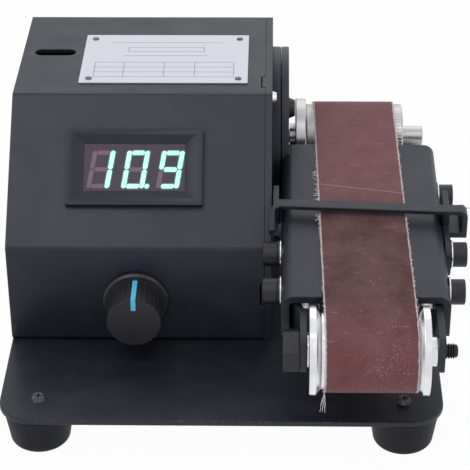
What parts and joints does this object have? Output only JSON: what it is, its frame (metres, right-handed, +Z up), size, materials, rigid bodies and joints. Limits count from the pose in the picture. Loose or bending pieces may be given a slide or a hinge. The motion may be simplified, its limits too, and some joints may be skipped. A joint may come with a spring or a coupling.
{
  "type": "belt grinder",
  "caption": "Small bench belt grinder with a sloping motor casing, a tilting belt arm with platen and tool rest, and a square base plate on rubber feet.",
  "frame": {"origin": "on the bench, under the middle of the whole machine at rest", "axes": "+X towards the tilting arm on the machine's right, +Y from the operator towards the back, +Z up"},
  "size_m": [0.159, 0.1778, 0.0929],
  "materials": {
    "black_powder_coat": "fine textured black powder coat",
    "foot_rubber": "soft matte rubber",
    "black_oxide_steel": "black oxide",
    "bright_zinc_steel": "bright zinc plate",
    "turned_steel": "turned and knurled",
    "bearing_steel": "ground",
    "plate_aluminium": "brushed",
    "idler_aluminium": "turned",
    "sink_aluminium": "extruded",
    "abrasive_cloth": "brown abrasive grain on cloth",
    "bezel_plastic": "moulded black",
    "display_window": "smoked window",
    "dark_plastic": "moulded black",
    "knob_plastic": "moulded black",
    "pointer_blue": "pale blue",
    "circuit_board": "green lacquer",
    "capacitor_sleeve": "printed sleeve left plain",
    "terminal_plastic": "moulded green",
    "motor_steel": "plated motor case",
    "magnet_ferrite": "sintered ferrite",
    "laminated_iron": "lacquered laminations",
    "commutator_copper": "turned copper",
    "brush_carbon": "pressed carbon",
    "spring_steel": "drawn wire"
  },
  "bodies": {
    "base": {"base_plate": "black_powder_coat", "rubber_feet": "foot_rubber", "foot_screws": "black_oxide_steel", "foot_nuts": "bright_zinc_steel", "casing": "black_powder_coat", "left_side_panel": "black_powder_coat", "right_side_panel": "black_powder_coat", "rear_panel": "black_powder_coat", "case_brackets": "bright_zinc_steel", "base_screws": "bright_zinc_steel", "side_panel_screws": "bright_zinc_steel", "nameplate": "plate_aluminium", "nameplate_rivets": "black_oxide_steel", "meter_bezel": "bezel_plastic", "meter_display": "display_window", "meter_body": "dark_plastic", "potentiometer": "dark_plastic", "potentiometer_nut": "bright_zinc_steel", "controller_board": "circuit_board", "board_standoffs": "dark_plastic", "capacitor": "capacitor_sleeve", "heat_sink": "sink_aluminium", "terminal_block": "terminal_plastic", "power_inlet": "dark_plastic", "inlet_nut": "bright_zinc_steel", "motor_can": "motor_steel", "motor_rear_cap": "dark_plastic", "motor_magnets": "magnet_ferrite", "motor_brushes": "brush_carbon", "motor_bearings": "bearing_steel", "motor_screws": "black_oxide_steel", "mounting_disc": "black_powder_coat", "disc_screws": "bright_zinc_steel", "clamp_screws": "bright_zinc_steel"},
    "drive": {"motor_shaft": "turned_steel", "armature": "laminated_iron", "commutator": "commutator_copper", "drive_roller": "turned_steel", "roller_grub_screw": "black_oxide_steel"},
    "knob": {"speed_knob": "knob_plastic", "knob_pointer": "pointer_blue", "potentiometer_shaft": "turned_steel"},
    "arm": {"arm_frame": "black_powder_coat", "sanding_belt": "abrasive_cloth", "tension_screws": "black_oxide_steel", "tension_strips": "bright_zinc_steel", "flat_washers": "bright_zinc_steel", "spring_washers": "black_oxide_steel", "anchor_screws": "black_oxide_steel", "spring_anchor": "bright_zinc_steel", "tension_spring": "spring_steel", "rest_guide_pin": "black_oxide_steel"},
    "fork": {"tension_fork": "black_powder_coat", "axle_bolt": "black_oxide_steel", "axle_washers": "bright_zinc_steel"},
    "idler": {"idler_roller": "idler_aluminium", "idler_bearings": "bearing_steel"},
    "tool_rest": {"tool_rest": "black_powder_coat"}
  },
  "joints": [
    {"name": "drive_spin", "type": "hinge", "parent": "base", "child": "drive", "pos_m": [0.0609, 0.05539, 0.0559], "axis": [1, 0, 0], "continuous": true},
    {"name": "arm_tilt", "type": "hinge", "parent": "base", "child": "arm", "pos_m": [0.0157, 0.05539, 0.0559], "axis": [-1, 0, 0], "range_deg": [0, 94]},
    {"name": "belt_tension", "type": "slide", "parent": "arm", "child": "fork", "axis": [0, -0.9976, -0.0698], "range_m": [-0.0012, 0], "deforming": ["tension_spring"]},
    {"name": "idler_spin", "type": "hinge", "parent": "fork", "child": "idler", "pos_m": [0.0443, -0.07429, 0.04683], "axis": [1, 0, 0], "continuous": true},
    {"name": "rest_slide", "type": "slide", "parent": "arm", "child": "tool_rest", "axis": [0, -0.0698, 0.9976], "range_m": [0, 0.003]},
    {"name": "knob_turn", "type": "hinge", "parent": "base", "child": "knob", "pos_m": [-0.0348, -0.02411, 0.0332], "axis": [0, -1, 0], "range_deg": [-150, 150]}
  ],
  "couplings": [
    {"joint": "idler_spin", "follows": "drive_spin", "ratio": 0.94697}
  ]
}
